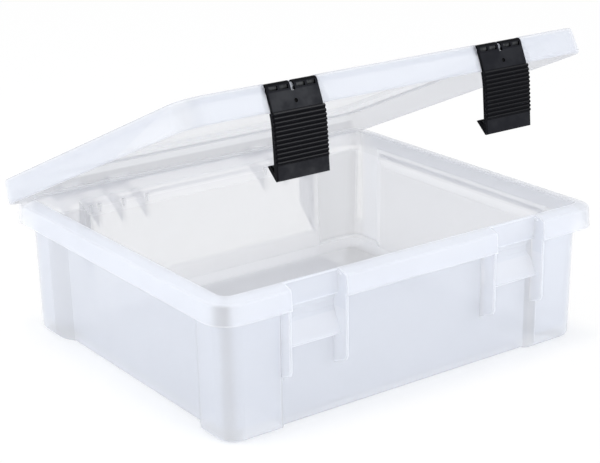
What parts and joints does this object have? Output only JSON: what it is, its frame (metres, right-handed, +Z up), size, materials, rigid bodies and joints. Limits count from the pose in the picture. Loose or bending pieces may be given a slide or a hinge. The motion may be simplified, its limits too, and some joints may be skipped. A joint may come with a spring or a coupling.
{
  "type": "craft storage box",
  "caption": "Translucent rectangular storage box with corner pillars, a hinged skirted lid held open and black ribbed snap latches on the front.",
  "frame": {"origin": "on the floor, under the middle of the overall box as pictured, from the rim's front to the hinge knuckles", "axes": "+X to the right along the latch side, +Y towards the hinge, +Z up"},
  "size_m": [0.418, 0.382, 0.282],
  "materials": {
    "clear_plastic": "satin translucent",
    "latch_plastic": "black, satin",
    "pin_plastic": "white, satin"
  },
  "bodies": {
    "tub": {"tub": "clear_plastic", "hinge_pin_left": "pin_plastic", "hinge_pin_right": "pin_plastic"},
    "lid": {"lid": "clear_plastic"},
    "latch_left": {"latch_left": "latch_plastic"},
    "latch_right": {"latch_right": "latch_plastic"}
  },
  "joints": [
    {"name": "lid_hinge", "type": "hinge", "parent": "tub", "child": "lid", "pos_m": [0, 0.186, 0.1105], "axis": [-1, 0, 0], "range_deg": [-23.5, 86.5]},
    {"name": "latch_left_hinge", "type": "hinge", "parent": "lid", "child": "latch_left", "pos_m": [-0.108, -0.15377, 0.27754], "axis": [-1, 0, 0], "range_deg": [0, 100]},
    {"name": "latch_right_hinge", "type": "hinge", "parent": "lid", "child": "latch_right", "pos_m": [0.108, -0.15377, 0.27754], "axis": [-1, 0, 0], "range_deg": [0, 100]}
  ]
}
